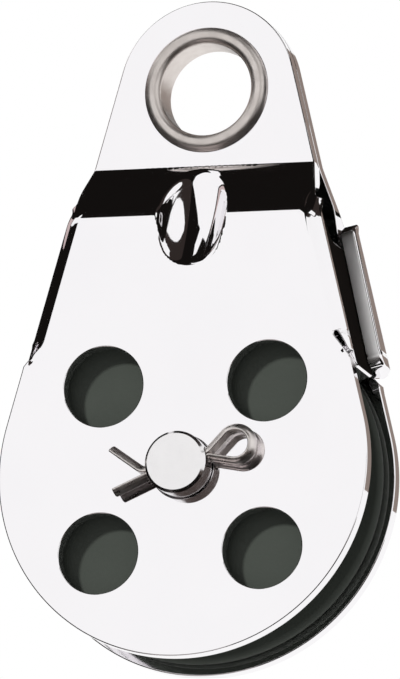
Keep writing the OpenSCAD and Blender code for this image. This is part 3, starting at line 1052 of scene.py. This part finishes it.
# The cut edges of the rear tabs
sheared_steel = material(
    "sheared_steel", metallic=1.0,
    build=satin(light=(0.97, 0.955, 0.95), dark=(0.9, 0.88, 0.875), low=0.26, high=0.36,
                stretch=(1, 1, 0.2), grain=500))
ferrule_steel = material(
    "ferrule_steel", metallic=1.0,
    build=satin(light=(0.86, 0.80, 0.765), dark=(0.68, 0.625, 0.59), low=0.34, high=0.46))
pin_steel = material(
    "pin_steel", metallic=1.0,
    build=satin(light=(0.90, 0.885, 0.89), dark=(0.80, 0.785, 0.79), low=0.10, high=0.2))
wire_steel = material(
    "wire_steel", metallic=1.0,
    build=satin(light=(0.84, 0.79, 0.765), dark=(0.70, 0.655, 0.63), low=0.24, high=0.36))
sheave_resin = material(
    "sheave_resin", metallic=0.0, specular=0.15,
    build=moulded(light=(0.064, 0.072, 0.062), dark=(0.050, 0.057, 0.049), low=0.45, high=0.6))
bush_bronze = material(
    "bush_bronze", metallic=1.0,
    build=satin(light=(0.58, 0.46, 0.27), dark=(0.42, 0.33, 0.2), low=0.25, high=0.4))
washer_nylon = material(
    "washer_nylon", metallic=0.0,
    build=moulded(light=(0.82, 0.81, 0.77), dark=(0.74, 0.73, 0.69), low=0.35, high=0.5))
floor_paint = material(
    "floor_white", metallic=0.0,
    build=moulded(light=(0.94, 0.94, 0.94), dark=(0.92, 0.92, 0.92), low=0.75, high=0.9))


# Pieces in place of the CAD nodes


def dress(obj, mat, node):
    """Gives a piece its material and lets it ride and stand in for its CAD node."""
    obj.data.materials.append(mat)
    body = next(name for name, empty in frame["bodies"].items() if frame["nodes"][node].parent is empty)
    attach(obj, body)
    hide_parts(node)
    return obj


def paint_sides(obj, mat, least_across, low_y, high_y, facing):
    """Gives another material to the faces far enough across that look along a direction: a painted dark
    reflection on the front flanges' legs, or a rougher steel on the rear tabs' cut edges.
    """
    least_match = 0.9
    obj.data.materials.append(mat)
    for face in obj.data.polygons:
        at = face.center / MM
        across = abs(at.x) * COS_LEAN + (at.z + PIN_DROP) * SIN_LEAN
        if across > least_across and low_y < at.y < high_y and abs(face.normal.dot(facing)) > least_match:
            face.material_index = 1


# The front flanges' legs start behind their bends, and the cut edges are the front ends of the rear tabs
LEG_FROM = FLANGE_FACE - 0.06
CUT_FROM = TAB_FACE - PLATE_T - 0.05
CUT_BACK = 0.5 * CHEEK_OUT
front = dress(make_cheek("polished_front_cheek", FRONT, front_side(), False), cheek_steel, "front_cheek")
# The front flanges' legs get a plain dark non-metal, a painted dark reflection, though they are the same
# polished steel as the cheek
paint_sides(front, painted_dark_reflection, LEG_FROM, -CHEEK_OUT + FRONT["bend_r"], CHEEK_OUT, Vector((1, 0, 0)))
rear = dress(make_cheek("polished_rear_cheek", REAR, rear_side(), True), cheek_steel, "rear_cheek")
paint_sides(rear, sheared_steel, CUT_FROM, -CHEEK_OUT, CUT_BACK, Vector((0, 1, 0)))
dress(outward_faces(rolled_ferrule()), ferrule_steel, "eye_ferrule")
dress(outward_faces(moulded_sheave()), sheave_resin, "sheave")
dress(outward_faces(pressed_bush()), bush_bronze, "sheave_bush")
dress(outward_faces(washer_disc("front_washer_disc", -1)), washer_nylon, "front_thrust_washer")
dress(outward_faces(washer_disc("rear_washer_disc", 1)), washer_nylon, "rear_thrust_washer")
dress(turned_pin(), pin_steel, "clevis_pin")
dress(outward_faces(bent_cotter()), wire_steel, "cotter_pin")


# Stage, in metres


def staged(name, mesh, mat):
    """Puts a mesh of the stage in the scene."""
    mesh.materials.append(mat)
    obj = add_object(name, mesh)
    return obj


def reflected_only(obj):
    """Lets only reflections see a card."""
    obj.visible_camera = False
    obj.visible_diffuse = False
    obj.visible_shadow = False
    obj.visible_transmission = False


def flat_sheet(name, corners, mat):
    """A flat staged sheet between four corners."""
    mesh = bpy.data.meshes.new(name)
    bm = bmesh.new()
    bm.faces.new([bm.verts.new(corner) for corner in corners])
    bmesh.ops.subdivide_edges(bm, edges=bm.edges, cuts=3, use_grid_fill=True)
    bm.to_mesh(mesh)
    bm.free()
    return staged(name, mesh, mat)


def leaf(name, low_y, high_y, low_z, high_z, mat):
    """A small upright card to the right of the dent, seen only in reflections."""
    x = 0.016
    corners = [(x, low_y, low_z), (x, high_y, low_z), (x, high_y, high_z), (x, low_y, high_z)]
    reflected_only(flat_sheet(name, corners, mat))


def card(name, azimuths, low, high, radius, mat):
    """A patch of a sphere round the object, seen only in reflections.

    Low and high are the elevations of its edges at each azimuth. Azimuth 0 lies towards -Y, 90 towards +X.
    """
    middle = [0, 0, -0.03]
    step = 4
    columns = max(int(abs(azimuths[-1] - azimuths[0]) / step), 2) + 1
    azimuth = np.linspace(azimuths[0], azimuths[-1], columns)
    bottom = np.interp(azimuth, azimuths, np.broadcast_to(low, len(azimuths)))
    top = np.interp(azimuth, azimuths, np.broadcast_to(high, len(azimuths)))
    rows = max(int(np.max(top - bottom) / step), 2) + 1
    elevation = np.radians(np.linspace(bottom, top, rows))
    turn = np.radians(azimuth)
    level = np.cos(elevation)
    way = np.stack([np.sin(turn) * level, -np.cos(turn) * level, np.sin(elevation)], 2)
    verts = way.reshape(-1, 3) * radius + middle
    faces = [
        (k * columns + i, k * columns + i + 1, (k + 1) * columns + i + 1, (k + 1) * columns + i)
        for k in range(rows - 1)
        for i in range(columns - 1)
    ]
    mesh = bpy.data.meshes.new(name)
    mesh.from_pydata([tuple(v) for v in verts], [], faces)
    obj = staged(name, mesh, mat)
    reflected_only(obj)
    return obj


def emitter(name, colour):
    """A material that glows evenly."""
    mat = bpy.data.materials.new(name)
    mat.use_nodes = True
    tree = mat.node_tree
    tree.nodes.clear()
    glow = add_node(tree, "Emission", {"Color": (*colour, 1), "Strength": 1.0})["Emission"]
    add_node(tree, "OutputMaterial", {"Surface": glow})
    return mat


FLOOR_Z = -0.52
FLOOR_HALF = 3
floor_corners = [(x * FLOOR_HALF, y * FLOOR_HALF, FLOOR_Z) for x, y in ((-1, -1), (1, -1), (1, 1), (-1, 1))]
floor = flat_sheet("floor", floor_corners, floor_paint)
floor.visible_glossy = False

flag_black = emitter("flag_black", (0.0065, 0.0055, 0.005))
flag_brown = emitter("flag_brown", (0.085, 0.068, 0.062))
flag_taupe = emitter("flag_taupe", (0.27, 0.22, 0.195))
flag_umber = emitter("flag_umber", (0.030, 0.023, 0.021))
lamp_white = emitter("lamp_white", (1, 1, 1))
lamp_rose = emitter("lamp_rose", (0.86, 0.78, 0.77))
lamp_dusk = emitter("lamp_dusk", (0.56, 0.45, 0.44))

# Radii of the cards: windows stand before the flags, and the ground behind them
WINDOW_R = 1.5
FLAG_R = 1.6
GROUND_R = 1.62
NEAR_R = 0.045
ZENITH = 89

# Dark to the left, behind and above, and open in front and to the right
card("flag_left", (-150, -30), -60, 24, FLAG_R, flag_black)
card("flag_left_high", (-180, -84), 24, ZENITH, FLAG_R, flag_black)
card("flag_back", (140, 180), 26, ZENITH, FLAG_R, flag_black)
card("flag_back_low", (140, 180), 6, 26, FLAG_R, flag_taupe)
card("flag_top", (-84, -60, -30, -10, 12), (46, 51, 49, 40, 26), ZENITH, FLAG_R, flag_black)
card("flag_right_high", (12, 14, 24, 44, 67, 93, 120, 140), (26, 22.5, 25, 29, 32, 33.5, 32, 28), ZENITH,
     FLAG_R, flag_umber)
# A dark strip close to the left side, which the left flange's bend mirrors
near = card("flag_near", (-160, -27), -40, 36, NEAR_R, flag_black)
near.location = (-0.022, -0.005, 0.0)
# Two small dark leaves beside the dent, which the dent's left wall mirrors
leaf("flag_leaf", -0.019, -0.001, -0.0173, -0.003, flag_black)
leaf("flag_leaf_high", -0.006, 0.001, -0.003, 0.008, flag_black)
# Windows that the dent mirrors: one high on the right, a dim one on the left, and one high on the left
card("right_window", (25, 36, 48, 60, 72, 88), (49, 37, 33, 32, 34, 38), (54, 58, 58, 55, 50, 40), WINDOW_R,
     lamp_white)
card("left_window", (-132, -88), (17, 17), (30, 40), WINDOW_R, lamp_dusk)
card("top_window", (-64, -42), 48, (68, 60), WINDOW_R, lamp_white)
# Dark ground below the front, a strip that the clevis pin's side mirrors by way of the cheek, and a pale
# patch that the shoulder gap mirrors
card("ground_near", (-110, 115), -24, -11, GROUND_R, flag_brown)
card("flag_side", (9, 26), -11, 13, GROUND_R, flag_brown)
card("ground_far", (-110, 115), -89, -24, GROUND_R, flag_black)
card("pale_patch", (-60, 0), -64, -44, WINDOW_R, lamp_rose)

# World: soft white light on the object, and plain white for the camera, mirrors and glass
world = bpy.data.worlds.new("studio")
bpy.context.scene.world = world
world.use_nodes = True
world_tree = world.node_tree
world_tree.nodes.clear()


def world_light(strength):
    return add_node(world_tree, "Background", {"Color": (1, 1, 1, 1), "Strength": strength})["Background"]


def either(first, second):
    return add_node(world_tree, "Math", {0: first, 1: second}, operation="MAXIMUM")["Value"]


rays = add_node(world_tree, "LightPath", {})
seen = either(either(rays["Is Camera Ray"], rays["Is Glossy Ray"]), rays["Is Transmission Ray"])
light = add_node(world_tree, "MixShader", {0: seen, 1: world_light(0.35), 2: world_light(1.0)})["Shader"]
add_node(world_tree, "OutputWorld", {"Surface": light})

SUN_WAY = Vector((0.45, 0.75, -0.4))
sun_data = bpy.data.lights.new("sun", "SUN")
sun_data.energy = 3.0
sun_data.angle = math.radians(6)
sun = add_object("sun", sun_data)
sun.rotation_euler = SUN_WAY.to_track_quat("-Z", "Y").to_euler()
sun.visible_glossy = False

bpy.context.scene.view_settings.view_transform = "Standard"

# Camera, turned and placed so that the clevis pin's hole falls on its pixel of the photo
CAMERA_RIGHT = Vector((0.95614, 0.29139, 0.0299))
CAMERA_BACK = Vector((0.29051, -0.93024, -0.22418))
FOCUS_MM = 2000.0
PX_PER_MM = 7.932
PHOTO_WIDTH = 400
PHOTO_HEIGHT = 679
PIN_PIXEL = (182.25, 467.02)
SENSOR = 36.0
right = CAMERA_RIGHT.normalized()
back = CAMERA_BACK.normalized()
up = back.cross(right).normalized()
right = up.cross(back)
focal_px = PX_PER_MM * FOCUS_MM
camera_data = bpy.data.cameras.new("camera")
camera = add_object("camera", camera_data)
bpy.context.scene.camera = camera
camera_data.sensor_fit = "AUTO"
camera_data.sensor_width = SENSOR
camera_data.lens = focal_px / PHOTO_HEIGHT * SENSOR
camera_data.clip_start = 0.05
camera_data.clip_end = 20.0
pin_right = (PIN_PIXEL[0] - PHOTO_WIDTH / 2) / focal_px
pin_up = (PHOTO_HEIGHT / 2 - PIN_PIXEL[1]) / focal_px
pin_ray = right * pin_right + up * pin_up - back
target = Vector((0, -CHEEK_OUT * MM, -PIN_DROP * MM))
turn = Matrix((right, up, back)).transposed().to_4x4()
camera.matrix_world = Matrix.Translation(target - pin_ray * (FOCUS_MM * MM)) @ turn
